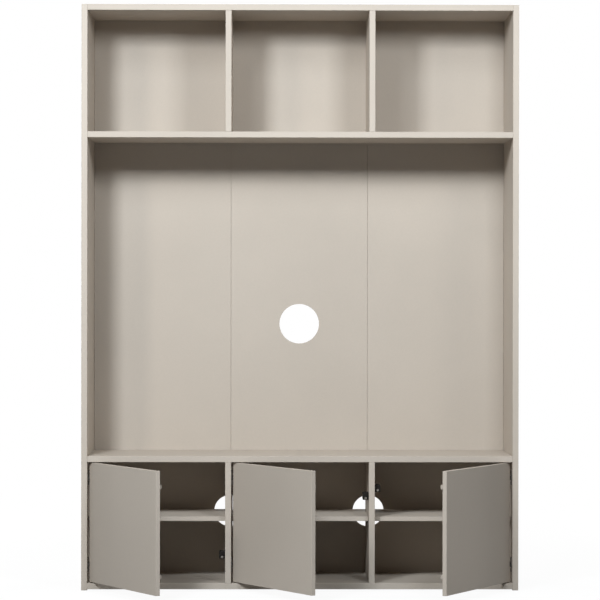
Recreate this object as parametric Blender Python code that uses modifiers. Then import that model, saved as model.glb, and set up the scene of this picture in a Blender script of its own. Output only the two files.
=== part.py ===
"""TV cabinet: an open bay for a television, three open compartments above it and
three cupboards below with flat inset doors on concealed cup hinges.

Metres, +Z up. The plan is drawn with X = 0 in the middle of the cabinet, Y = 0 on
the front plane, +Y into the cabinet and Z = 0 on the floor. The root empty then
moves it so that the origin lies under the middle of the whole, doors included.
"""

import math

import bmesh
import bpy

# Carcass boards
WIDTH = 1.490
DEPTH = 0.350
BOARD = 0.020
FOOT_CLEARANCE = 0.004
CUPBOARD_OPENING = 0.413
BAY_OPENING = 1.086
UPPER_OPENING = 0.413
COMPARTMENTS = 3
BACK_BOARD = 0.008
BACK_RECESS = 0.002
BACK_SEAM = 0.0006
EDGE_RADIUS = 0.0008
EDGE_STEPS = 2

# Gap between pieces that touch, how far a cutter runs past what it cuts, and how
# close two points of one mesh lie where they are welded
SEAT = 0.0003
OVERRUN = 0.004
WELD = 0.000005

# Round cable holes in the back
BAY_HOLE_RADIUS = 0.070
BAY_HOLE_RISE = 0.447
LOW_HOLE_RADIUS = 0.055
LOW_HOLE_RISE = 0.217
HOLE_FACETS = 48

# Loose shelves in the cupboards
SHELF_THICKNESS = 0.015
SHELF_RISE = 0.209
SHELF_SETBACK = 0.038
SHELF_BACK_GAP = 0.010
SHELF_END_GAP = 0.001

# Bent wires that carry the loose shelves
WIRE_RADIUS = 0.00125
WIRE_STANDOFF = 0.0045
WIRE_REACH = 0.009
WIRE_BEND = 0.003
WIRE_FROM_FRONT = 0.036
WIRE_FROM_BACK = 0.046
WIRE_GROOVE_DEPTH = 0.008
WIRE_BEND_STEPS = 4

# Doors
DOOR_THICKNESS = 0.015
DOOR_GAP = 0.003
OPENING_ANGLE = math.radians(100.0)
REST_ANGLE_LEFT = math.radians(58.0)
REST_ANGLE_MIDDLE = math.radians(55.4)
REST_ANGLE_RIGHT = math.radians(58.2)

# Blocks on the doors' inner faces
BLOCK_FROM_EDGE = 0.030
BLOCK_FROM_TOP = 0.055
BLOCK_FROM_BOTTOM = 0.057
BLOCK_WIDTH = 0.016
BLOCK_HEIGHT = 0.014
BLOCK_STANDOUT = 0.023

# Cup hinges
HINGE_FROM_TOP = 0.052
HINGE_FROM_BOTTOM = 0.058
CUP_RADIUS = 0.0175
CUP_FROM_EDGE = 0.0055
CUP_DEPTH = 0.012
CUP_WALL = 0.0008
CUP_SLOT_HEIGHT = 0.016
FLANGE_THICKNESS = 0.0012
FLANGE_HEIGHT = 0.062
FLANGE_WAIST = 0.020
FLANGE_RIM = 0.001
PIVOT_FROM_EDGE = 0.0215
PIN_RADIUS = 0.0015
PIN_SEAT_DEPTH = 0.004
EYE_RADIUS = 0.0028
ARM_HEIGHT = 0.014
ARM_THICKNESS = 0.0025
ARM_BASE = 0.005
ARM_LENGTH = 0.034
SWING_CLEARANCE = 0.0006
PLATE_THICKNESS = 0.0025
PLATE_LENGTH = 0.040
PLATE_WAIST = 0.020
PLATE_HEIGHT = 0.050
WING_SETBACK = 0.008
WING_LENGTH = 0.018
FITTING_FILLET = 0.003
FILLET_STEPS = 4
CUP_FACETS = 48
PIN_FACETS = 16
ARC_STEPS = 20

# Push latches
LATCH_RISE_LEFT = 0.088
LATCH_RISE_MIDDLE = 0.289
LATCH_RISE_RIGHT = 0.316
LATCH_WIDTH = 0.020
LATCH_BELOW = 0.006
LATCH_ABOVE = 0.019
LATCH_LENGTH = 0.042
LATCH_SETBACK = 0.003
LATCH_EDGE_RADIUS = 0.0012
TAB_THICKNESS = 0.0025
TAB_LENGTH = 0.016
PLUNGER_OFFSET = 0.0105
PLUNGER_RADIUS = 0.004
PLUNGER_DOME = 0.0015
PLUNGER_LENGTH = 0.030
PLUNGER_TRAVEL = 0.014
PLUNGER_TIP_GAP = 0.0005
PLUNGER_FACETS = 24

# Looks: colour, roughness, metallic
LACQUER = ((0.565, 0.525, 0.465), 0.55, 0.0)
LACQUER_BACK = ((0.545, 0.505, 0.445), 0.60, 0.0)
STEEL = ((0.62, 0.61, 0.59), 0.32, 1.0)
DARK_PLASTIC = ((0.045, 0.043, 0.041), 0.50, 0.0)
PALE_PLASTIC = ((0.60, 0.58, 0.55), 0.45, 0.0)

# Levels and faces that follow from the sizes above
INNER_HALF = WIDTH / 2 - BOARD
CELL = (2 * INNER_HALF - (COMPARTMENTS - 1) * BOARD) / COMPARTMENTS
BACK_FRONT = DEPTH - BACK_RECESS - BACK_BOARD
BOTTOM_TOP = FOOT_CLEARANCE + BOARD
TV_UNDER = BOTTOM_TOP + CUPBOARD_OPENING
TV_TOP = TV_UNDER + BOARD
UPPER_UNDER = TV_TOP + BAY_OPENING
UPPER_TOP = UPPER_UNDER + BOARD
TOP_UNDER = UPPER_TOP + UPPER_OPENING
HEIGHT = TOP_UNDER + BOARD
BACK_WIDTH = 2 * INNER_HALF / COMPARTMENTS
DOOR_WIDTH = CELL - 2 * DOOR_GAP
DOOR_BOTTOM = BOTTOM_TOP + DOOR_GAP
DOOR_TOP = TV_UNDER - DOOR_GAP
SHELF_DEPTH = BACK_FRONT - SHELF_BACK_GAP - SHELF_SETBACK
WIRE_SPAN = SHELF_DEPTH - WIRE_FROM_FRONT - WIRE_FROM_BACK

# Hinge geometry, measured from the hinge side's face and from the front plane
PIVOT_ACROSS = DOOR_GAP + PIVOT_FROM_EDGE
PIVOT_DEEP = DOOR_THICKNESS / 2
CUP_ACROSS = DOOR_GAP + CUP_FROM_EDGE + CUP_RADIUS
FLANGE_UNDER = DOOR_THICKNESS + SEAT
FLANGE_TOP = FLANGE_UNDER + FLANGE_THICKNESS
CUP_BOTTOM = FLANGE_UNDER - CUP_DEPTH
CUP_BORE = CUP_RADIUS - CUP_WALL
SLOT_HALF = math.sqrt(CUP_BORE ** 2 - (CUP_SLOT_HEIGHT / 2) ** 2)
RIM_SWEEP = math.hypot(PIVOT_FROM_EDGE, DOOR_THICKNESS - PIVOT_DEEP)
ARM_INSIDE = RIM_SWEEP + SWING_CLEARANCE
ARM_OUTSIDE = ARM_INSIDE + ARM_THICKNESS
PLATE_FACE = SEAT + PLATE_THICKNESS
BASE_NEAR = PLATE_FACE + SEAT - PIVOT_ACROSS
BASE_FAR = BASE_NEAR + ARM_BASE
BASE_FRONT = math.sqrt(ARM_INSIDE ** 2 - BASE_NEAR ** 2) + ARM_THICKNESS

# Latch geometry, measured from the front plane
LATCH_FRONT = DOOR_THICKNESS + LATCH_SETBACK
TIP_CLOSED = DOOR_THICKNESS + PLUNGER_TIP_GAP


def clear_scene():
    for item in list(bpy.data.objects):
        bpy.data.objects.remove(item, do_unlink=True)


def make_collection(name):
    group = bpy.data.collections.new(name)
    bpy.context.scene.collection.children.link(group)
    return group


def make_material(name, look):
    colour, roughness, metallic = look
    material = bpy.data.materials.new(name + "_finish")
    material.use_nodes = True
    shader = material.node_tree.nodes["Principled BSDF"]
    shader.inputs["Base Color"].default_value = (*colour, 1.0)
    shader.inputs["Roughness"].default_value = roughness
    shader.inputs["Metallic"].default_value = metallic
    material.diffuse_color = (*colour, 1.0)
    return material


def make_object(name, data, group, parent, location=(0, 0, 0), rotation=(0, 0, 0)):
    item = bpy.data.objects.new(name, data)
    group.objects.link(item)
    item.parent = parent
    item.location = location
    item.rotation_euler = rotation
    return item


def make_empty(name, location, turn, parent):
    item = bpy.data.objects.new(name, None)
    PARTS.objects.link(item)
    item.parent = parent
    item.location = location
    item.rotation_euler = (0, 0, turn)
    return item


def finish_piece(item, look):
    item.data.materials.append(make_material(item.name, look))
    return item


def as_guide(item):
    item.hide_render = True
    item.display_type = "WIRE"
    return item


def box_mesh(name, size):
    mesh = bpy.data.meshes.new(name)
    shape = bmesh.new()
    bmesh.ops.create_cube(shape, size=1)
    bmesh.ops.scale(shape, vec=size, verts=shape.verts)
    shape.to_mesh(mesh)
    shape.free()
    return mesh


def rod_mesh(name, radius, length, facets):
    mesh = bpy.data.meshes.new(name)
    shape = bmesh.new()
    bmesh.ops.create_cone(shape, cap_ends=True, segments=facets,
                          radius1=radius, radius2=radius, depth=length)
    shape.to_mesh(mesh)
    shape.free()
    mesh.shade_smooth()
    mesh.set_sharp_from_angle(angle=math.radians(40.0))
    return mesh


def span(low, high):
    """Centre and size of a box from its two opposite corners."""
    centre = tuple((a + b) / 2 for a, b in zip(low, high))
    size = tuple(abs(b - a) for a, b in zip(low, high))
    return centre, size


def add_box(name, low, high, look, parent, radius=EDGE_RADIUS):
    centre, size = span(low, high)
    item = make_object(name, box_mesh(name, size), PARTS, parent, centre)
    bevel = item.modifiers.new("rounded_edges", "BEVEL")
    bevel.width = radius
    bevel.segments = EDGE_STEPS
    bevel.limit_method = "NONE"
    return finish_piece(item, look)


def guide_box(name, low, high, parent):
    centre, size = span(low, high)
    return as_guide(make_object(name, box_mesh(name, size), GUIDES, parent, centre))


def guide_rod(name, radius, length, facets, parent, location, rotation=(0, 0, 0)):
    mesh = rod_mesh(name, radius, length, facets)
    return as_guide(make_object(name, mesh, GUIDES, parent, location, rotation))


def combine(item, other, operation):
    modifier = item.modifiers.new(operation.lower(), "BOOLEAN")
    modifier.operation = operation
    modifier.object = other


def cut(item, cutter):
    combine(item, cutter, "DIFFERENCE")


def join(item, other):
    combine(item, other, "UNION")


def mesh_from_curve(name, curve):
    """Mesh of a curve's solid, with its caps welded to its sides."""
    carrier = bpy.data.objects.new(name + "_curve", curve)
    GUIDES.objects.link(carrier)
    bpy.context.view_layer.update()
    evaluated = carrier.evaluated_get(bpy.context.evaluated_depsgraph_get())
    mesh = bpy.data.meshes.new_from_object(evaluated)
    mesh.name = name
    bpy.data.objects.remove(carrier, do_unlink=True)
    shape = bmesh.new()
    shape.from_mesh(mesh)
    bmesh.ops.remove_doubles(shape, verts=shape.verts, dist=WELD)
    bmesh.ops.recalc_face_normals(shape, faces=shape.faces)
    shape.to_mesh(mesh)
    shape.free()
    return mesh


def outline_mesh(name, loops, thickness):
    """Flat outline with its holes, extruded evenly about its own plane."""
    curve = bpy.data.curves.new(name, "CURVE")
    curve.dimensions = "2D"
    curve.fill_mode = "BOTH"
    curve.extrude = thickness / 2
    for loop in loops:
        spline = curve.splines.new("POLY")
        spline.points.add(len(loop) - 1)
        for point, (x, y) in zip(spline.points, loop):
            point.co = (x, y, 0, 1)
        spline.use_cyclic_u = True
    return mesh_from_curve(name, curve)


def arc_points(radius, start, end, steps):
    points = []
    for step in range(steps + 1):
        angle = start + (end - start) * step / steps
        points.append((radius * math.cos(angle), radius * math.sin(angle)))
    return points


def round_corners(corners, radius, steps):
    """Fillet every corner of a closed outline."""
    rounded = []
    count = len(corners)
    for index, corner in enumerate(corners):
        before = corners[index - 1]
        after = corners[(index + 1) % count]
        to_before = (before[0] - corner[0], before[1] - corner[1])
        to_after = (after[0] - corner[0], after[1] - corner[1])
        run_before = math.hypot(*to_before)
        run_after = math.hypot(*to_after)
        reach = min(radius, run_before / 2, run_after / 2)
        start = (corner[0] + to_before[0] * reach / run_before,
                 corner[1] + to_before[1] * reach / run_before)
        end = (corner[0] + to_after[0] * reach / run_after,
               corner[1] + to_after[1] * reach / run_after)
        for step in range(steps + 1):
            t = step / steps
            keep = (1 - t) ** 2
            bend = 2 * t * (1 - t)
            rounded.append((keep * start[0] + bend * corner[0] + t * t * end[0],
                            keep * start[1] + bend * corner[1] + t * t * end[1]))
    return rounded


def board(name, left, right, front, back, bottom, top, look=LACQUER):
    return add_box(name, (left, front, bottom), (right, back, top), look, ROOT)


def build_carcass():
    """Thirteen fixed boards. Returns the ones that later get holes, by name."""
    boards = {}
    outer = WIDTH / 2
    for word, side in (("left", -1), ("right", 1)):
        name = "side_panel_" + word
        near, far = sorted((side * INNER_HALF, side * outer))
        boards[name] = board(name, near, far, 0, DEPTH, 0, HEIGHT)
    left = -INNER_HALF + SEAT
    right = INNER_HALF - SEAT
    back = BACK_FRONT - SEAT
    for name, bottom in (("bottom_panel", FOOT_CLEARANCE), ("tv_shelf", TV_UNDER),
                         ("upper_shelf", UPPER_UNDER), ("top_panel", TOP_UNDER)):
        boards[name] = board(name, left, right, 0, back, bottom, bottom + BOARD)
    for row, low, high in (("upper", UPPER_TOP, TOP_UNDER), ("lower", BOTTOM_TOP, TV_UNDER)):
        for word, side in (("left", -1), ("right", 1)):
            name = row + "_divider_" + word
            near, far = sorted((side * CELL / 2, side * (CELL / 2 + BOARD)))
            boards[name] = board(name, near, far, 0, back, low + SEAT, high - SEAT)
    for order, word in enumerate(("left", "middle", "right")):
        name = "back_panel_" + word
        start = -INNER_HALF + order * BACK_WIDTH
        end = start + BACK_WIDTH
        near = start + (SEAT if order == 0 else BACK_SEAM / 2)
        far = end - (SEAT if order == COMPARTMENTS - 1 else BACK_SEAM / 2)
        boards[name] = board(name, near, far, BACK_FRONT, BACK_FRONT + BACK_BOARD,
                             FOOT_CLEARANCE, HEIGHT, LACQUER_BACK)
    return boards


def cut_cable_holes(boards):
    """One hole in the bay and one behind each lower divider, across the seams."""
    level = (math.pi / 2, 0, 0)
    deep = BACK_FRONT + BACK_BOARD / 2
    length = BACK_BOARD + 2 * OVERRUN
    bay = guide_rod("bay_hole_cutter", BAY_HOLE_RADIUS, length, HOLE_FACETS, ROOT,
                    (0, deep, TV_TOP + BAY_HOLE_RISE), level)
    cut(boards["back_panel_middle"], bay)
    for word, side in (("left", -1), ("right", 1)):
        low = guide_rod("low_hole_cutter_" + word, LOW_HOLE_RADIUS, length, HOLE_FACETS, ROOT,
                        (side * (CELL + BOARD) / 2, deep, BOTTOM_TOP + LOW_HOLE_RISE), level)
        cut(boards["back_panel_middle"], low)
        cut(boards["back_panel_" + word], low)


def shelf_place():
    """Front, back and middle height of the loose shelves."""
    front = SHELF_SETBACK
    back = front + SHELF_DEPTH
    level = BOTTOM_TOP + SHELF_RISE + SHELF_THICKNESS / 2
    return front, back, level


def wire_mesh(name, side):
    """U-shaped wire: a run along the shelf's end and two legs into the panel."""
    run = WIRE_STANDOFF
    tip = -WIRE_REACH
    path = [(tip, 0)]
    for x, y in arc_points(WIRE_BEND, -math.pi / 2, 0, WIRE_BEND_STEPS):
        path.append((run - WIRE_BEND + x, WIRE_BEND + y))
    for x, y in arc_points(WIRE_BEND, 0, math.pi / 2, WIRE_BEND_STEPS):
        path.append((run - WIRE_BEND + x, WIRE_SPAN - WIRE_BEND + y))
    path.append((tip, WIRE_SPAN))
    curve = bpy.data.curves.new(name, "CURVE")
    curve.dimensions = "3D"
    curve.bevel_depth = WIRE_RADIUS
    curve.bevel_resolution = 2
    curve.use_fill_caps = True
    spline = curve.splines.new("POLY")
    spline.points.add(len(path) - 1)
    for point, (x, y) in zip(spline.points, path):
        point.co = (side * x, y, 0, 1)
    return mesh_from_curve(name, curve)


def build_shelf(word, left_face, left_panel, right_panel):
    """Loose shelf of one cupboard with the two wires that slide into its ends."""
    front, back, level = shelf_place()
    right_face = left_face + CELL
    name = word + "_loose_shelf"
    shelf = add_box(name, (left_face + SHELF_END_GAP, front, level - SHELF_THICKNESS / 2),
                    (right_face - SHELF_END_GAP, back, level + SHELF_THICKNESS / 2),
                    LACQUER, ROOT)
    first = front + WIRE_FROM_FRONT
    half = WIRE_RADIUS + SEAT
    for end, face, side, panel in (("left", left_face, 1, left_panel),
                                   ("right", right_face, -1, right_panel)):
        groove_end = face + side * (SHELF_END_GAP + WIRE_GROOVE_DEPTH)
        groove = guide_box(name + "_groove_cutter_" + end,
                           (face - side * OVERRUN, first - half, level - half),
                           (groove_end, back + OVERRUN, level + half), ROOT)
        cut(shelf, groove)
        wire_name = name + "_wire_" + end
        wire = make_object(wire_name, wire_mesh(wire_name, side), PARTS, ROOT,
                           (face, first, level))
        wire.data.shade_smooth()
        finish_piece(wire, STEEL)
        for order, place in (("front", first), ("rear", first + WIRE_SPAN)):
            length = WIRE_REACH + SEAT + OVERRUN
            middle = face - side * (WIRE_REACH + SEAT - OVERRUN) / 2
            bore = guide_rod(wire_name + "_bore_" + order, half, length, PIN_FACETS, ROOT,
                             (middle, place, level), (0, math.pi / 2, 0))
            cut(panel, bore)


def cup_flange_loop():
    """Flange outline: the cup's rim with two ears, above and below."""
    ring = CUP_RADIUS + FLANGE_RIM
    ear = FLANGE_WAIST / 2
    lean = math.asin(ear / ring)
    end = FLANGE_HEIGHT / 2 - ear
    loop = []
    loop += arc_points(ring, -math.pi / 2 + lean, math.pi / 2 - lean, ARC_STEPS)
    loop += [(x, y + end) for x, y in arc_points(ear, 0, math.pi, ARC_STEPS // 2)]
    loop += arc_points(ring, math.pi / 2 + lean, 3 * math.pi / 2 - lean, ARC_STEPS)
    loop += [(x, y - end) for x, y in arc_points(ear, math.pi, 2 * math.pi, ARC_STEPS // 2)]
    return loop


def build_cup(name, side, height, axis):
    """Cup let into the door, with a slot for the arm and blind seats for the pin."""
    offset = side * (CUP_ACROSS - PIVOT_ACROSS)
    level = (math.pi / 2, 0, 0)
    cup_middle = (CUP_BOTTOM + FLANGE_TOP) / 2 - PIVOT_DEEP
    cup = make_object(name, rod_mesh(name, CUP_RADIUS, FLANGE_TOP - CUP_BOTTOM, CUP_FACETS),
                      PARTS, axis, (offset, cup_middle, height), level)
    flange_name = name + "_flange"
    flange = as_guide(make_object(flange_name,
                                  outline_mesh(flange_name, [cup_flange_loop()],
                                               FLANGE_THICKNESS),
                                  GUIDES, axis,
                                  (offset, (FLANGE_UNDER + FLANGE_TOP) / 2 - PIVOT_DEEP, height),
                                  level))
    join(cup, flange)
    floor = CUP_BOTTOM + CUP_WALL - PIVOT_DEEP
    slot = guide_box(name + "_slot_cutter",
                     (offset - SLOT_HALF, floor, height - CUP_SLOT_HEIGHT / 2),
                     (offset + SLOT_HALF, FLANGE_TOP - PIVOT_DEEP + OVERRUN,
                      height + CUP_SLOT_HEIGHT / 2), axis)
    cut(cup, slot)
    seat_length = CUP_SLOT_HEIGHT + 2 * (PIN_SEAT_DEPTH + SEAT)
    seats = guide_rod(name + "_pin_cutter", PIN_RADIUS + SEAT, seat_length, PIN_FACETS,
                      axis, (0, 0, height))
    cut(cup, seats)
    return finish_piece(cup, STEEL)


def arm_loop(side):
    """Gooseneck in plan, about the pivot: eye, neck, bow round the door's edge, base."""
    half = ARM_THICKNESS / 2
    mouth = FLANGE_TOP - PIVOT_DEEP
    shift = CUP_ACROSS - PIVOT_ACROSS
    far_lip = math.atan2(mouth, SLOT_HALF + shift)
    near_lip = math.atan2(mouth, shift - SLOT_HALF)
    neck = (far_lip + near_lip - OPENING_ANGLE) / 2
    eye_gap = math.asin(half / EYE_RADIUS)
    heel = math.pi - math.asin(BASE_FRONT / ARM_INSIDE)
    shoulder = math.acos(BASE_FAR / ARM_OUTSIDE)
    tail = BASE_FRONT + ARM_LENGTH
    loop = arc_points(EYE_RADIUS, neck + eye_gap, neck - eye_gap + 2 * math.pi, ARC_STEPS)
    loop += arc_points(ARM_OUTSIDE, neck - math.asin(half / ARM_OUTSIDE), shoulder, ARC_STEPS)
    loop += [(BASE_FAR, tail - ARM_BASE / 2), (BASE_FAR - ARM_BASE / 2, tail),
             (BASE_NEAR, tail), (BASE_NEAR, BASE_FRONT)]
    loop += arc_points(ARM_INSIDE, heel, neck + math.asin(half / ARM_INSIDE), ARC_STEPS)
    eye = arc_points(PIN_RADIUS + SEAT, 0, 2 * math.pi, PIN_FACETS)[:-1]
    return [[(side * x, y) for x, y in ring] for ring in (loop, eye)]


def plate_loop(side):
    """Mounting plate seen square to the panel: a bar with a wing up and down."""
    waist = PLATE_WAIST / 2
    wing = PLATE_HEIGHT / 2
    wing_end = WING_SETBACK + WING_LENGTH
    corners = [(0, -waist), (WING_SETBACK, -waist), (WING_SETBACK, -wing),
               (wing_end, -wing), (wing_end, -waist), (PLATE_LENGTH, -waist),
               (PLATE_LENGTH, waist), (wing_end, waist), (wing_end, wing),
               (WING_SETBACK, wing), (WING_SETBACK, waist), (0, waist)]
    return round_corners(corners, FITTING_FILLET, FILLET_STEPS)


def build_hinge(name, side, face, height, axis):
    """One hinge: cup and pin on the door, gooseneck arm and plate on the carcass."""
    build_cup(name + "_cup", side, height, axis)
    pin_name = name + "_pin"
    pin_length = CUP_SLOT_HEIGHT + 2 * PIN_SEAT_DEPTH
    pin = make_object(pin_name, rod_mesh(pin_name, PIN_RADIUS, pin_length, PIN_FACETS),
                      PARTS, axis, (0, 0, height))
    finish_piece(pin, STEEL)
    arm_name = name + "_arm"
    arm = make_object(arm_name, outline_mesh(arm_name, arm_loop(side), ARM_HEIGHT), PARTS, ROOT,
                      (face + side * PIVOT_ACROSS, PIVOT_DEEP, height))
    finish_piece(arm, STEEL)
    plate_name = name + "_plate"
    plate = make_object(plate_name,
                        outline_mesh(plate_name, [plate_loop(side)], PLATE_THICKNESS),
                        PARTS, ROOT,
                        (face + side * (SEAT + PLATE_THICKNESS / 2),
                         PIVOT_DEEP + BASE_FRONT, height),
                        (math.pi / 2, 0, math.pi / 2))
    finish_piece(plate, STEEL)


def build_door(word, side, face, rest):
    """Door with its blocks and two hinges, all hung on an empty on the hinge axis."""
    axis = make_empty(word + "_door_axis", (face + side * PIVOT_ACROSS, PIVOT_DEEP, 0),
                      -side * rest, ROOT)
    near = side * (DOOR_GAP - PIVOT_ACROSS)
    far = side * (DOOR_GAP + DOOR_WIDTH - PIVOT_ACROSS)
    front = -PIVOT_DEEP
    back = DOOR_THICKNESS - PIVOT_DEEP
    name = word + "_door"
    door = add_box(name, (near, front, DOOR_BOTTOM), (far, back, DOOR_TOP), LACQUER, axis)
    block_far = far - side * BLOCK_FROM_EDGE
    block_near = block_far - side * BLOCK_WIDTH
    for order, height in (("upper", DOOR_TOP - BLOCK_FROM_TOP),
                          ("lower", DOOR_BOTTOM + BLOCK_FROM_BOTTOM)):
        block = guide_box(name + "_block_" + order,
                          (block_near, back - OVERRUN, height - BLOCK_HEIGHT / 2),
                          (block_far, back + BLOCK_STANDOUT, height + BLOCK_HEIGHT / 2), axis)
        join(door, block)
    bore_bottom = CUP_BOTTOM - SEAT
    bore_length = DOOR_THICKNESS + OVERRUN - bore_bottom
    for order, height in (("upper", DOOR_TOP - HINGE_FROM_TOP),
                          ("lower", DOOR_BOTTOM + HINGE_FROM_BOTTOM)):
        hinge_name = name + "_" + order + "_hinge"
        bore = guide_rod(hinge_name + "_bore_cutter", CUP_RADIUS + SEAT, bore_length,
                         CUP_FACETS, axis,
                         (side * (CUP_ACROSS - PIVOT_ACROSS),
                          bore_bottom + bore_length / 2 - PIVOT_DEEP, height),
                         (math.pi / 2, 0, 0))
        cut(door, bore)
        build_hinge(hinge_name, side, face, height, axis)


def plunger_mesh(name):
    """Half profile of the plunger, tip up, that the Screw modifier turns."""
    profile = [(0, 0), (PLUNGER_RADIUS - PLUNGER_DOME, 0),
               (PLUNGER_RADIUS - PLUNGER_DOME / 3, -PLUNGER_DOME / 3),
               (PLUNGER_RADIUS, -PLUNGER_DOME),
               (PLUNGER_RADIUS, PLUNGER_DOME / 3 - PLUNGER_LENGTH),
               (PLUNGER_RADIUS - PLUNGER_DOME / 3, -PLUNGER_LENGTH),
               (0, -PLUNGER_LENGTH)]
    mesh = bpy.data.meshes.new(name)
    shape = bmesh.new()
    points = [shape.verts.new((radius, 0, height)) for radius, height in profile]
    for start, end in zip(points, points[1:]):
        shape.edges.new((start, end))
    shape.to_mesh(mesh)
    shape.free()
    return mesh


def build_latch(word, side, face, rise, rest):
    """Push latch on the divider that a door closes against; side points off its face."""
    height = BOTTOM_TOP + rise
    name = word + "_latch_housing"
    rear = LATCH_FRONT + LATCH_LENGTH
    housing = add_box(name, (face + side * SEAT, LATCH_FRONT, height - LATCH_BELOW),
                      (face + side * LATCH_WIDTH, rear, height + LATCH_ABOVE),
                      DARK_PLASTIC, ROOT, LATCH_EDGE_RADIUS)
    tab = guide_box(name + "_tab",
                    (face + side * SEAT, rear - OVERRUN, height - LATCH_BELOW + LATCH_EDGE_RADIUS),
                    (face + side * (SEAT + TAB_THICKNESS), rear + TAB_LENGTH,
                     height + LATCH_ABOVE - LATCH_EDGE_RADIUS), ROOT)
    join(housing, tab)
    across = face + side * PLUNGER_OFFSET
    bore_end = TIP_CLOSED + PLUNGER_LENGTH + PLUNGER_TIP_GAP
    bore_start = LATCH_FRONT - OVERRUN
    bore = guide_rod(name + "_bore_cutter", PLUNGER_RADIUS + SEAT, bore_end - bore_start,
                     PLUNGER_FACETS, ROOT, (across, (bore_start + bore_end) / 2, height),
                     (math.pi / 2, 0, 0))
    cut(housing, bore)
    plunger_name = word + "_latch_plunger"
    tip = TIP_CLOSED - PLUNGER_TRAVEL * rest / OPENING_ANGLE
    plunger = make_object(plunger_name, plunger_mesh(plunger_name), PARTS, ROOT,
                          (across, tip, height), (math.pi / 2, 0, 0))
    turn = plunger.modifiers.new("turned", "SCREW")
    turn.axis = "Z"
    turn.angle = 2 * math.pi
    turn.steps = PLUNGER_FACETS
    turn.render_steps = PLUNGER_FACETS
    turn.use_merge_vertices = True
    turn.merge_threshold = WELD
    finish_piece(plunger, PALE_PLASTIC)


def door_reach(rest):
    """How far in front of the front plane a door's free corner stands."""
    back_out = PIVOT_FROM_EDGE * math.sin(rest) - PIVOT_DEEP * math.cos(rest) + PIVOT_DEEP
    return DOOR_WIDTH * math.sin(rest) - back_out


clear_scene()
PARTS = make_collection("tv_cabinet")
GUIDES = make_collection("cutters_and_guides")

REACH = max(door_reach(angle) for angle in (REST_ANGLE_LEFT, REST_ANGLE_MIDDLE,
                                            REST_ANGLE_RIGHT))
ROOT = make_empty("cabinet_origin", (0, (REACH - DEPTH) / 2, 0), 0, None)

carcass = build_carcass()
cut_cable_holes(carcass)

FACE_LEFT = -INNER_HALF
FACE_MIDDLE = -CELL / 2
FACE_RIGHT = CELL / 2 + BOARD

build_shelf("left", FACE_LEFT, carcass["side_panel_left"], carcass["lower_divider_left"])
build_shelf("middle", FACE_MIDDLE, carcass["lower_divider_left"], carcass["lower_divider_right"])
build_shelf("right", FACE_RIGHT, carcass["lower_divider_right"], carcass["side_panel_right"])

build_door("left", 1, FACE_LEFT, REST_ANGLE_LEFT)
build_door("middle", 1, FACE_MIDDLE, REST_ANGLE_MIDDLE)
build_door("right", -1, FACE_RIGHT + CELL, REST_ANGLE_RIGHT)

build_latch("left", -1, FACE_LEFT + CELL, LATCH_RISE_LEFT, REST_ANGLE_LEFT)
build_latch("middle", -1, FACE_MIDDLE + CELL, LATCH_RISE_MIDDLE, REST_ANGLE_MIDDLE)
build_latch("right", 1, FACE_RIGHT, LATCH_RISE_RIGHT, REST_ANGLE_RIGHT)

bpy.context.view_layer.update()
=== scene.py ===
import math

import bmesh
import bpy
from mathutils import Matrix, Vector


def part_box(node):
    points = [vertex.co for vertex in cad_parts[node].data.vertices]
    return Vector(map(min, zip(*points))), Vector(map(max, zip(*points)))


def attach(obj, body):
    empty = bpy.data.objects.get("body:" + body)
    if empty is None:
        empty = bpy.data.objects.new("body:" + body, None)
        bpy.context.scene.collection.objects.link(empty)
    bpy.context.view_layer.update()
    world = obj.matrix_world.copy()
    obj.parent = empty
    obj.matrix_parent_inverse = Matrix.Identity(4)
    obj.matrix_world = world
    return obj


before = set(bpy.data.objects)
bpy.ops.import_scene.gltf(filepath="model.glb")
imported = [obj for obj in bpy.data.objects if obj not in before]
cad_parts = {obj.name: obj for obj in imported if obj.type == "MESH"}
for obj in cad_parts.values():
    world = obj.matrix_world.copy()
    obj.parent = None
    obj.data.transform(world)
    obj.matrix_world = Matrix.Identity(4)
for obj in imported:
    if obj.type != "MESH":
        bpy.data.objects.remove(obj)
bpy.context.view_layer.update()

# Places taken from the frame, in metres
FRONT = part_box("side_panel_left")[0].y
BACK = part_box("side_panel_left")[1].y

# Doors: which way each reaches from its hinge, and how far it stands open, in degrees about +Z
DOOR_SIDE = {"left": 1.0, "middle": 1.0, "right": -1.0}
REST_TURN = {"left": -58.0, "middle": -55.4, "right": 58.2}

# Colours, and the directions in which metal is drawn: a small value stretches along its axis
GREIGE = (0.485, 0.425, 0.360)
DRAWN_DEEP = (1.0, 0.06, 1.0)
DRAWN_UP = (1.0, 1.0, 0.06)
UNDRAWN = (1.0, 1.0, 1.0)

# Screw heads: radius, and height of the head
CUP_SCREW = (0.0040, 0.0010)
PLATE_SCREW = (0.0042, 0.0012)
ADJUSTING_SCREW = (0.0034, 0.0012)
ARM_SCREW = (0.0038, 0.0014)
TAB_SCREW = (0.0036, 0.0013)
COVER_SCREW = (0.0015, 0.0005)
BOARD_SCREW = (0.0036, 0.0008)

# Screw heads in section: share of the radius, with share of the height or of the recess's depth
SCREW_RIM = [(0.94, -0.25), (1.0, 0.0), (0.99, 0.45), (0.90, 0.82), (0.76, 0.97), (0.62, 1.0)]
SCREW_RECESS = {"cross": [(0.54, 0.0), (0.47, 1.0), (0.28, 1.0), (0.13, 1.0)],
                "slot": [(0.56, 0.0), (0.50, 1.0), (0.32, 1.0), (0.13, 1.0)]}
DRIVER_HALF_WIDTH = 0.14
RECESS_TO_HEIGHT = 1.3
RECESS_TO_RADIUS = 0.45
SCREW_FACETS = 24
SMALL_SCREW_FACETS = 16
COLLAR_FACETS = 32
SHARP_ANGLE = math.radians(35.0)

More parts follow.
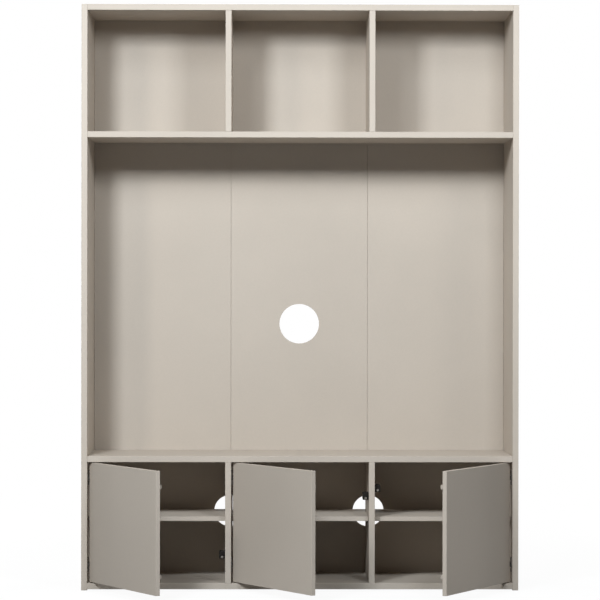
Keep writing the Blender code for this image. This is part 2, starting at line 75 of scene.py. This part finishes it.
# Hinge screws: distances from the pivot, the plate's front and the arm's rear, and driver turns
CUP_SCREW_ACROSS = 0.0015
CUP_SCREW_DEEP = 0.0090
CUP_SCREW_RISE = 0.021
CUP_SCREW_TURNS = (0.5, 1.6)
PLATE_SCREW_FROM_FRONT = 0.017
PLATE_SCREW_RISE = 0.0175
PLATE_SCREW_TURNS = (0.9, 0.2)
ARM_BASE = 0.005
ADJUSTING_SCREW_FROM_REAR = 0.0200
ADJUSTING_SCREW_TURN = 0.6
ARM_SCREW_FROM_REAR = 0.0085
ARM_SCREW_TURN = 0.2

# Latch: collar in section as radius and distance out, cover, and screws
COLLAR_SECTION = [(0.00440, -0.0003), (0.00440, 0.0006), (0.00465, 0.0009),
                  (0.00520, 0.0009), (0.00570, 0.0004), (0.00570, -0.0003)]
COVER_SUNK = 0.0003
COVER_STANDOUT = 0.0007
COVER_START = 0.004
COVER_END = 0.038
COVER_MARGIN = 0.0035
COVER_EDGE = 0.0004
COVER_STEPS = 3
COVER_SCREW_FROM_FRONT = 0.021
COVER_SCREW_RISE = 0.0060
COVER_SCREW_TURNS = (0.34, 1.06)
TAB_THICKNESS = 0.0025
TAB_SCREW_FROM_REAR = 0.0080
TAB_SCREW_TURN = 0.4

# Back: the low cable holes that interrupt the seams, the tongues in the seams, and the screws
LOW_HOLE_HEIGHT = 0.241
LOW_HOLE_ACROSS = 0.245
LOW_HOLE_REACH = 0.0552
TONGUE_SIDE_GAP = 0.00002
TONGUE_INSET = 0.0022
TONGUE_END_GAP = 0.0005
TONGUE_EDGE = 0.0001
BOARD_SCREW_SHIFTS = (-0.19, 0.0, 0.19)
BOARD_SCREW_TURN = 0.37

# Floor: size, tones, and where its white part begins and is full; and the world's light
FLOOR_HALF = 16.0
FLOOR_CELLS = 8
FLOOR_TONE_UNSEEN = 0.30
FLOOR_TONE_SEEN = 0.92
WHITE_START = 0.9
WHITE_FULL = 4.0
WHITE_NEAR = 0.93
WORLD_ON_OBJECT = 0.02

# Camera: place in metres, and turns in radians
CAMERA_PLACE = (-0.088, FRONT - 8.3495, 1.0294)
CAMERA_YAW = 0.01044
CAMERA_PITCH = -0.00475
CAMERA_ROLL = -0.00129
CAMERA_LENS = 147.1
CAMERA_SENSOR = 36.0
CAMERA_REACH = 60.0

# Lamps: where the front ones aim, their sizes in metres, and their colours
AIM = (0.0, FRONT + 0.2, 1.0)
FAR_LAMP = (1.14, 1.14)
NEAR_LAMP = (0.5, 0.5)
OVERHEAD_LAMP = (1.8, 0.6)
REAR_LAMP = (1.8, 1.8)
COOL = (0.869, 0.935, 1.0)
WARM = (1.0, 0.943, 0.868)
NEUTRAL = (1.0, 1.0, 1.0)

STUDIO = bpy.data.collections.new("studio")
bpy.context.scene.collection.children.link(STUDIO)
DETAIL = bpy.data.collections.new("fittings_detail")
bpy.context.scene.collection.children.link(DETAIL)


# Materials

def node_material(name):
    material = bpy.data.materials.new(name)
    material.use_nodes = True
    tree = material.node_tree
    shader = tree.nodes["Principled BSDF"]
    return material, tree, shader


def noise(tree, where, scale, detail, stretch=None):
    texture = tree.nodes.new("ShaderNodeTexNoise")
    texture.inputs["Scale"].default_value = scale
    texture.inputs["Detail"].default_value = detail
    if stretch is None:
        tree.links.new(where, texture.inputs["Vector"])
    else:
        mapping = tree.nodes.new("ShaderNodeMapping")
        mapping.inputs["Scale"].default_value = stretch
        tree.links.new(where, mapping.inputs["Vector"])
        tree.links.new(mapping.outputs["Vector"], texture.inputs["Vector"])
    return texture.outputs["Fac"]


def ramp(tree, value, low, high, first, last):
    """Colour from low to high as the value goes from first to last."""
    node = tree.nodes.new("ShaderNodeValToRGB")
    node.color_ramp.elements[0].position = first
    node.color_ramp.elements[1].position = last
    node.color_ramp.elements[0].color = (*low, 1.0)
    node.color_ramp.elements[1].color = (*high, 1.0)
    tree.links.new(value, node.inputs["Fac"])
    return node.outputs["Color"]


def value_range(tree, value, low, high):
    node = tree.nodes.new("ShaderNodeMapRange")
    node.inputs["To Min"].default_value = low
    node.inputs["To Max"].default_value = high
    tree.links.new(value, node.inputs["Value"])
    return node.outputs["Result"]


def bump(tree, value, strength, distance):
    node = tree.nodes.new("ShaderNodeBump")
    node.inputs["Strength"].default_value = strength
    node.inputs["Distance"].default_value = distance
    tree.links.new(value, node.inputs["Height"])
    return node.outputs["Normal"]


def coordinates_of(tree):
    return tree.nodes.new("ShaderNodeTexCoord").outputs["Object"]


def shade(colour, factor):
    return tuple(channel * factor for channel in colour)


def lacquer(name, colour, rough=0.58, peel=0.10, gloss=0.14):
    """Matt sprayed lacquer on board: faint cloudiness, orange peel, uneven sheen."""
    material, tree, shader = node_material(name)
    where = coordinates_of(tree)
    cloud = noise(tree, where, scale=2.3, detail=3.0)
    fine = noise(tree, where, scale=160.0, detail=2.0)
    mix = tree.nodes.new("ShaderNodeMix")
    mix.data_type = "RGBA"
    mix.blend_type = "MULTIPLY"
    mix.inputs["Factor"].default_value = 0.35
    clouded = ramp(tree, cloud, shade(colour, 0.975), shade(colour, 1.025), first=0.35, last=0.65)
    speckled = ramp(tree, fine, (0.93, 0.93, 0.93), (1.0, 1.0, 1.0), first=0.3, last=0.7)
    tree.links.new(clouded, mix.inputs["A"])
    tree.links.new(speckled, mix.inputs["B"])
    tree.links.new(mix.outputs["Result"], shader.inputs["Base Color"])
    sheen = noise(tree, where, scale=9.0, detail=4.0)
    tree.links.new(value_range(tree, sheen, low=rough - 0.05, high=rough + 0.05),
                   shader.inputs["Roughness"])
    shader.inputs["Specular IOR Level"].default_value = gloss
    skin = noise(tree, where, scale=420.0, detail=1.5)
    tree.links.new(bump(tree, skin, strength=peel, distance=0.0004), shader.inputs["Normal"])
    return material


def metal(name, colour, rough, stretch):
    """Plated steel with fine drawn lines along one direction."""
    material, tree, shader = node_material(name)
    where = coordinates_of(tree)
    lines = noise(tree, where, scale=300.0, detail=3.0, stretch=stretch)
    stain = noise(tree, where, scale=38.0, detail=3.0)
    stained = ramp(tree, stain, shade(colour, 0.90), shade(colour, 1.04), first=0.3, last=0.7)
    tree.links.new(stained, shader.inputs["Base Color"])
    tree.links.new(value_range(tree, lines, low=rough - 0.07, high=rough + 0.09),
                   shader.inputs["Roughness"])
    shader.inputs["Metallic"].default_value = 1.0
    tree.links.new(bump(tree, lines, strength=0.12, distance=0.0002), shader.inputs["Normal"])
    return material


def plastic(name, colour, rough, grain, gloss=0.10):
    """Moulded plastic with a fine spark-eroded grain."""
    material, tree, shader = node_material(name)
    shader.inputs["Specular IOR Level"].default_value = gloss
    where = coordinates_of(tree)
    tone = noise(tree, where, scale=45.0, detail=2.0)
    toned = ramp(tree, tone, shade(colour, 0.88), shade(colour, 1.1), first=0.3, last=0.7)
    tree.links.new(toned, shader.inputs["Base Color"])
    tree.links.new(value_range(tree, tone, low=rough - 0.05, high=rough + 0.06),
                   shader.inputs["Roughness"])
    skin = noise(tree, where, scale=1500.0, detail=1.0)
    tree.links.new(bump(tree, skin, strength=grain, distance=0.0002), shader.inputs["Normal"])
    return material


BOARD_PAINT = lacquer("greige_lacquer", GREIGE)
PANEL_PAINT = lacquer("greige_lacquer_satin", GREIGE, rough=0.54, gloss=0.27)
BACK_PAINT = lacquer("greige_lacquer_back", shade(GREIGE, 0.99), rough=0.62, peel=0.14)
# Doors: the same greige lacquer painted 5 % darker, as painted shade on the open door fronts
DOOR_PAINT_SHADED = lacquer("greige_lacquer_door_painted_shade", shade(GREIGE, 0.95), rough=0.55)
# Hinge, pin and screw metal: nickel drawn at about a tenth of white, far darker than bright
# nickel
ARM_METAL = metal("nickel_darkened_drawn_deep", (0.105, 0.100, 0.093), 0.42, DRAWN_DEEP)
CUP_METAL = metal("nickel_darkened_drawn_up", (0.100, 0.095, 0.088), 0.44, DRAWN_UP)
SCREW_METAL = metal("nickel_darkened_screw", (0.135, 0.128, 0.118), 0.40, UNDRAWN)
WIRE_METAL = metal("drawn_wire", (0.40, 0.39, 0.37), 0.40, DRAWN_DEEP)
BOARD_SCREW_METAL = metal("zinc_screw", (0.46, 0.46, 0.45), 0.40, UNDRAWN)
HOUSING_PLASTIC = plastic("dark_moulding", (0.014, 0.012, 0.010), rough=0.60, grain=0.25)
COVER_PLASTIC = plastic("dark_moulding_smooth", (0.022, 0.020, 0.017), rough=0.45, grain=0.10,
                        gloss=0.16)
PLUNGER_PLASTIC = plastic("dull_tip", (0.20, 0.18, 0.155), rough=0.55, grain=0.15)


def finish_of(node):
    """The material of one solid, by its name."""
    if node.startswith("back_panel"):
        return BACK_PAINT
    if node.endswith("_door"):
        return DOOR_PAINT_SHADED
    if node.startswith("side_panel") or node == "tv_shelf":
        return PANEL_PAINT
    if node.endswith("_housing"):
        return HOUSING_PLASTIC
    if node.endswith("_plunger"):
        return PLUNGER_PLASTIC
    if "_wire_" in node:
        return WIRE_METAL
    if node.endswith(("_arm", "_plate")):
        return ARM_METAL
    if node.endswith(("_cup", "_pin")):
        return CUP_METAL
    return BOARD_PAINT


def paint(node, material):
    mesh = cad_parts[node].data
    if not mesh.materials:
        mesh.materials.append(material)
    for index in range(len(mesh.materials)):
        mesh.materials[index] = material


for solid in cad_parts:
    paint(solid, finish_of(solid))


# Fittings that the frame's solids leave plain

def add_piece(name, shape, material, body):
    bmesh.ops.recalc_face_normals(shape, faces=shape.faces)
    mesh = bpy.data.meshes.new(name)
    shape.to_mesh(mesh)
    shape.free()
    mesh.materials.append(material)
    mesh.shade_smooth()
    mesh.set_sharp_from_angle(angle=SHARP_ANGLE)
    piece = bpy.data.objects.new(name, mesh)
    DETAIL.objects.link(piece)
    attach(piece, body)


def middle_of(node):
    low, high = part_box(node)
    return (low + high) / 2


def axes_about(outward, turn):
    """Three axes at right angles, the last one outward and the others turned about it."""
    outward = Vector(outward).normalized()
    first = outward.orthogonal().normalized()
    second = outward.cross(first)
    across = first * math.cos(turn) + second * math.sin(turn)
    return across, outward.cross(across), outward


def add_rings(shape, place, axes, rings, closed):
    """Skins a stack of rings of (across, up, out) points; closed joins last to first."""
    across, up, out = axes
    made = [[shape.verts.new(Vector(place) + across * u + up * v + out * w)
             for u, v, w in ring] for ring in rings]
    pairs = list(zip(made, made[1:]))
    if closed:
        pairs.append((made[-1], made[0]))
    for one, two in pairs:
        for k in range(len(one)):
            after = (k + 1) % len(one)
            shape.faces.new((one[k], one[after], two[after], two[k]))
    return made


def add_screw(shape, place, outward, size, turn, drive="cross", facets=SCREW_FACETS):
    """Screw head with a rounded rim and a driver recess pressed into its face."""
    radius, height = size
    deep = min(RECESS_TO_HEIGHT * height, RECESS_TO_RADIUS * radius)
    rings = []
    for share, level in SCREW_RIM:
        rings.append([(radius * share * math.cos(math.tau * k / facets),
                       radius * share * math.sin(math.tau * k / facets), height * level)
                      for k in range(facets)])
    for share, sunk in SCREW_RECESS[drive]:
        ring = []
        for k in range(facets):
            angle = math.tau * k / facets
            u, v = share * math.cos(angle), share * math.sin(angle)
            inside = (abs(v) < DRIVER_HALF_WIDTH
                      or (drive == "cross" and abs(u) < DRIVER_HALF_WIDTH))
            ring.append((radius * u, radius * v, height - deep * sunk * inside))
        rings.append(ring)
    made = add_rings(shape, place, axes_about(outward, turn), rings, False)
    shape.faces.new(made[0])
    shape.faces.new(made[-1])


def add_collar(shape, place, outward, section, facets=COLLAR_FACETS):
    """Turned ring from a closed section of (radius, outward) points."""
    rings = [[(radius * math.cos(math.tau * k / facets), radius * math.sin(math.tau * k / facets),
               level) for k in range(facets)] for radius, level in section]
    add_rings(shape, place, axes_about(outward, 0.0), rings, True)


def add_plate(shape, low, high, width, steps):
    """Block with all its edges rounded."""
    low, high = Vector(low), Vector(high)
    corners = bmesh.ops.create_cube(shape, size=1.0)["verts"]
    bmesh.ops.scale(shape, vec=high - low, verts=corners)
    bmesh.ops.translate(shape, vec=(low + high) / 2, verts=corners)
    edges = list({edge for corner in corners for edge in corner.link_edges})
    bmesh.ops.bevel(shape, geom=edges, offset=width, segments=steps, profile=0.5,
                    affect="EDGES")


def dress_hinge(word, order):
    """Screws of one cup hinge: two in the cup's flange, two in the plate, two in the arm."""
    name = word + "_door_" + order + "_hinge"
    side = DOOR_SIDE[word]
    away = Vector((side, 0.0, 0.0))
    pivot = middle_of(name + "_pin")
    door_turn = Matrix.Rotation(math.radians(REST_TURN[word]), 3, "Z")
    inward = door_turn @ Vector((0.0, 1.0, 0.0))
    ear = pivot + door_turn @ Vector((side * CUP_SCREW_ACROSS, CUP_SCREW_DEEP, 0.0))
    shape = bmesh.new()
    for rise, turn in zip((-CUP_SCREW_RISE, CUP_SCREW_RISE), CUP_SCREW_TURNS):
        add_screw(shape, ear + Vector((0.0, 0.0, rise)), inward, CUP_SCREW, turn)
    add_piece(name + "_cup_screws", shape, SCREW_METAL, word + "_door_leaf")

    low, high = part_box(name + "_plate")
    face = high.x if side > 0 else low.x
    shape = bmesh.new()
    for rise, turn in zip((-PLATE_SCREW_RISE, PLATE_SCREW_RISE), PLATE_SCREW_TURNS):
        add_screw(shape, (face, low.y + PLATE_SCREW_FROM_FRONT, pivot.z + rise), away,
                  PLATE_SCREW, turn)
    add_piece(name + "_plate_screws", shape, SCREW_METAL, "carcass")

    low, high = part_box(name + "_arm")
    face = (low.x if side > 0 else high.x) + side * ARM_BASE
    shape = bmesh.new()
    add_screw(shape, (face, high.y - ADJUSTING_SCREW_FROM_REAR, pivot.z), away,
              ADJUSTING_SCREW, ADJUSTING_SCREW_TURN, "slot")
    add_screw(shape, (face, high.y - ARM_SCREW_FROM_REAR, pivot.z), away,
              ARM_SCREW, ARM_SCREW_TURN)
    add_piece(name + "_arm_screws", shape, SCREW_METAL, "carcass")


def dress_latch(word, side):
    """Guide collar, side cover and screws of one push latch; side points off the board."""
    low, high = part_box(word + "_latch_housing")
    tip = middle_of(word + "_latch_plunger")
    level = (low.z + high.z) / 2
    away = (side, 0.0, 0.0)
    shape = bmesh.new()
    add_collar(shape, (tip.x, low.y, tip.z), (0.0, -1.0, 0.0), COLLAR_SECTION)
    add_piece(word + "_latch_collar", shape, COVER_PLASTIC, "carcass")

    face = high.x if side > 0 else low.x
    inner, outer = sorted((face - side * COVER_SUNK, face + side * COVER_STANDOUT))
    shape = bmesh.new()
    add_plate(shape, (inner, low.y + COVER_START, low.z + COVER_MARGIN),
              (outer, low.y + COVER_END, high.z - COVER_MARGIN), COVER_EDGE, COVER_STEPS)
    add_piece(word + "_latch_cover", shape, COVER_PLASTIC, "carcass")

    tab = (low.x if side > 0 else high.x) + side * TAB_THICKNESS
    shape = bmesh.new()
    add_screw(shape, (tab, high.y - TAB_SCREW_FROM_REAR, level), away, TAB_SCREW,
              TAB_SCREW_TURN)
    for rise, turn in zip((-COVER_SCREW_RISE, COVER_SCREW_RISE), COVER_SCREW_TURNS):
        add_screw(shape, (face + side * COVER_STANDOUT, low.y + COVER_SCREW_FROM_FRONT,
                          level + rise), away, COVER_SCREW, turn, facets=SMALL_SCREW_FACETS)
    add_piece(word + "_latch_screws", shape, SCREW_METAL, "carcass")


def seam_edges(side):
    """The two facing edges of the seam on one side of the middle back board."""
    middle_low, middle_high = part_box("back_panel_middle")
    if side > 0:
        return middle_high.x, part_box("back_panel_right")[0].x
    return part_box("back_panel_left")[1].x, middle_low.x


def dress_back():
    """Tongues in the seams between the back boards, and the screws that hold the boards."""
    low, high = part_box("back_panel_middle")
    shape = bmesh.new()
    for side in (-1.0, 1.0):
        left, right = seam_edges(side)
        off_middle = LOW_HOLE_ACROSS - abs((left + right) / 2)
        half = math.sqrt(LOW_HOLE_REACH ** 2 - off_middle ** 2)
        for start, end in ((low.z, LOW_HOLE_HEIGHT - half), (LOW_HOLE_HEIGHT + half, high.z)):
            add_plate(shape,
                      (left + TONGUE_SIDE_GAP, low.y + TONGUE_INSET, start + TONGUE_END_GAP),
                      (right - TONGUE_SIDE_GAP, high.y - TONGUE_INSET, end - TONGUE_END_GAP),
                      TONGUE_EDGE, 1)
    add_piece("back_seam_tongues", shape, BACK_PAINT, "carcass")

    shape = bmesh.new()
    count = 0
    for board in ("back_panel_left", "back_panel_middle", "back_panel_right"):
        middle = middle_of(board).x
        for node in ("bottom_panel", "tv_shelf", "upper_shelf", "top_panel"):
            for shift in BOARD_SCREW_SHIFTS:
                count += 1
                add_screw(shape, (middle + shift, high.y, middle_of(node).z), (0.0, 1.0, 0.0),
                          BOARD_SCREW, BOARD_SCREW_TURN * count, facets=SMALL_SCREW_FACETS)
    add_piece("back_board_screws", shape, BOARD_SCREW_METAL, "carcass")


for door_word in ("left", "middle", "right"):
    for door_order in ("upper", "lower"):
        dress_hinge(door_word, door_order)
    dress_latch(door_word, -DOOR_SIDE[door_word])
dress_back()


# Camera, floor and light

def seen_rays(tree):
    """The light path node, and 1 where the camera, a mirror or a glass sees the surface."""
    path = tree.nodes.new("ShaderNodeLightPath")
    seen = path.outputs["Is Camera Ray"]
    for kind in ("Is Glossy Ray", "Is Transmission Ray"):
        either = tree.nodes.new("ShaderNodeMath")
        either.operation = "MAXIMUM"
        tree.links.new(seen, either.inputs[0])
        tree.links.new(path.outputs[kind], either.inputs[1])
        seen = either.outputs[0]
    return path, seen


def floor_material():
    """Pale floor that keeps the object's shadow near it and turns plain white further out."""
    material, tree, shader = node_material("studio_floor")
    path, seen = seen_rays(tree)
    tone = tree.nodes.new("ShaderNodeMix")
    tone.data_type = "RGBA"
    tone.inputs["A"].default_value = (*[FLOOR_TONE_UNSEEN] * 3, 1.0)
    tone.inputs["B"].default_value = (*[FLOOR_TONE_SEEN] * 3, 1.0)
    tree.links.new(path.outputs["Is Camera Ray"], tone.inputs["Factor"])
    tree.links.new(tone.outputs["Result"], shader.inputs["Base Color"])
    shader.inputs["Roughness"].default_value = 0.9
    shader.inputs["Specular IOR Level"].default_value = 0.1

    distance = tree.nodes.new("ShaderNodeVectorMath")
    distance.operation = "LENGTH"
    tree.links.new(coordinates_of(tree), distance.inputs[0])
    white_part = tree.nodes.new("ShaderNodeMapRange")
    white_part.interpolation_type = "SMOOTHSTEP"
    white_part.inputs["From Min"].default_value = WHITE_START
    white_part.inputs["From Max"].default_value = WHITE_FULL
    white_part.inputs["To Min"].default_value = WHITE_NEAR
    tree.links.new(distance.outputs["Value"], white_part.inputs["Value"])
    share = tree.nodes.new("ShaderNodeMath")
    share.operation = "MULTIPLY"
    tree.links.new(seen, share.inputs[0])
    tree.links.new(white_part.outputs["Result"], share.inputs[1])

    white = tree.nodes.new("ShaderNodeEmission")
    mix = tree.nodes.new("ShaderNodeMixShader")
    tree.links.new(share.outputs[0], mix.inputs["Fac"])
    tree.links.new(shader.outputs[0], mix.inputs[1])
    tree.links.new(white.outputs[0], mix.inputs[2])
    tree.links.new(mix.outputs[0], tree.nodes["Material Output"].inputs["Surface"])
    return material


def make_floor():
    shape = bmesh.new()
    bmesh.ops.create_grid(shape, x_segments=FLOOR_CELLS, y_segments=FLOOR_CELLS,
                          size=FLOOR_HALF)
    mesh = bpy.data.meshes.new("studio_floor")
    shape.to_mesh(mesh)
    shape.free()
    mesh.materials.append(floor_material())
    floor = bpy.data.objects.new("studio_floor", mesh)
    STUDIO.objects.link(floor)


def make_camera():
    """Long lens, a little left of the middle and a metre up, turned slightly right."""
    ahead = Vector((math.sin(CAMERA_YAW) * math.cos(CAMERA_PITCH),
                    math.cos(CAMERA_YAW) * math.cos(CAMERA_PITCH), math.sin(CAMERA_PITCH)))
    level = Vector((math.cos(CAMERA_YAW), -math.sin(CAMERA_YAW), 0.0))
    down = ahead.cross(level)
    right = level * math.cos(CAMERA_ROLL) + down * math.sin(CAMERA_ROLL)
    up = right.cross(ahead)
    data = bpy.data.cameras.new("camera")
    data.lens = CAMERA_LENS
    data.sensor_width = CAMERA_SENSOR
    data.clip_end = CAMERA_REACH
    camera = bpy.data.objects.new("camera", data)
    STUDIO.objects.link(camera)
    turn = Matrix((right, up, -ahead)).transposed().to_4x4()
    camera.matrix_world = Matrix.Translation(CAMERA_PLACE) @ turn
    bpy.context.scene.camera = camera


def make_world():
    """White world for the camera's rays, and next to no light on the object."""
    world = bpy.data.worlds.new("studio")
    world.use_nodes = True
    bpy.context.scene.world = world
    tree = world.node_tree
    background = tree.nodes["Background"]
    background.inputs["Color"].default_value = (1.0, 1.0, 1.0, 1.0)
    seen = seen_rays(tree)[1]
    tree.links.new(value_range(tree, seen, low=WORLD_ON_OBJECT, high=1.0),
                   background.inputs["Strength"])


def area_light(name, place, aim, size, power, colour=NEUTRAL):
    data = bpy.data.lights.new(name, "AREA")
    data.shape = "RECTANGLE"
    data.size, data.size_y = size
    data.energy = power
    data.color = colour
    lamp = bpy.data.objects.new(name, data)
    STUDIO.objects.link(lamp)
    lamp.location = place
    lamp.rotation_mode = "QUATERNION"
    lamp.rotation_quaternion = (Vector(aim) - Vector(place)).to_track_quat("-Z", "Y")


def light_object():
    """Five lamps in front, one above for the top's front edge, and two behind."""
    area_light("key_far", (-1.6, FRONT - 5.0, 4.3), AIM, FAR_LAMP, 93.0, COOL)
    area_light("key_near", (-1.4, FRONT - 3.0, 2.6), AIM, NEAR_LAMP, 91.2, COOL)
    area_light("left_side", (-3.0, FRONT - 4.0, 3.0), AIM, NEAR_LAMP, 40.1, WARM)
    area_light("right_near", (0.9, FRONT - 2.2, 2.4), AIM, NEAR_LAMP, 36.4, COOL)
    area_light("right_side", (2.0, FRONT - 2.0, 2.4), AIM, NEAR_LAMP, 9.1, WARM)
    area_light("overhead", (0.0, FRONT - 0.1, 4.3), (0.0, FRONT - 0.1, 1.9), OVERHEAD_LAMP,
               14.0)
    for side in (-1.0, 1.0):
        area_light("rear", (side * 2.8, BACK + 2.9, 1.6), (0.0, BACK, 1.0), REAR_LAMP, 103.0)


make_floor()
make_camera()
make_world()
light_object()

bpy.context.scene.view_settings.view_transform = "Standard"
